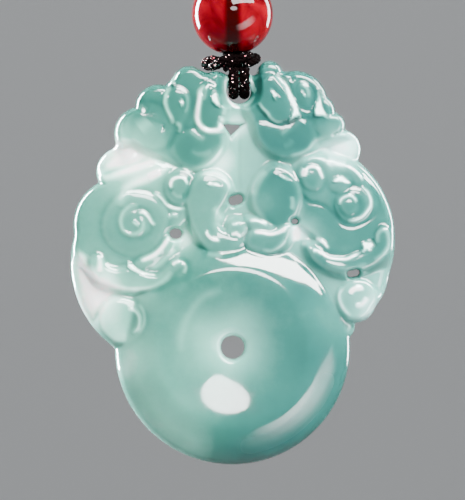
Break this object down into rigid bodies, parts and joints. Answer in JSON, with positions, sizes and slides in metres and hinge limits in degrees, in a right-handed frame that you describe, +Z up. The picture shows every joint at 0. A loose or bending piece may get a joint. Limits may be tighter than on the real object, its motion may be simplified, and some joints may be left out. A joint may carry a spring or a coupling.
{
  "type": "donut pendant necklace",
  "caption": "Carved jade pendant, a donut disc under scrolling clouds, on a braided neck cord with a knot and a round agate bead, in the form it has when it is worn.",
  "frame": {"origin": "the middle of the nape, where the loop rests on the wearer's neck, at the middle of the closing knot", "axes": "+X to the right as the front of the pendant is seen, -Y to the front, +Z up; the pendant's flat side faces -Y"},
  "size_m": [0.1262, 0.1391, 0.2697],
  "materials": {
    "jade": "polished",
    "agate": "polished",
    "cord": "satin"
  },
  "bodies": {
    "root": {"jade_pendant": "jade", "agate_bead": "agate", "pendant_knot": "cord", "bail_strand_left": "cord", "bail_strand_right": "cord", "neck_cord_left": "cord", "neck_cord_right": "cord", "closing_knot": "cord"}
  },
  "joints": []
}
